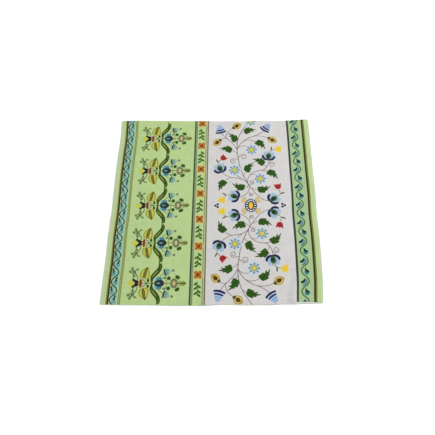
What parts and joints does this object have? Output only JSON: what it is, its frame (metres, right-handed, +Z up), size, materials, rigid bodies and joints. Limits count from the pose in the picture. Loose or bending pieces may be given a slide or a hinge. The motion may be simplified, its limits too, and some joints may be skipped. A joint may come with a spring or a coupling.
{
  "type": "cloth napkin",
  "caption": "Square dinner napkin of printed cotton with narrow turned hems, laid out flat with a few low ripples at its edges.",
  "frame": {"origin": "middle of the cloth's box, on the surface it lies on", "axes": "+Z up out of the printed face; +X across the print's bands, from the lime edge with the dotted vine to the edge with the blue-leaved vine; +Y along the bands"},
  "size_m": [0.455, 0.4546, 0.0057],
  "materials": {
    "printed_cotton": "matt plain-weave cotton, printed on its upper face"
  },
  "bodies": {
    "root": {"napkin": "printed_cotton"}
  },
  "joints": []
}
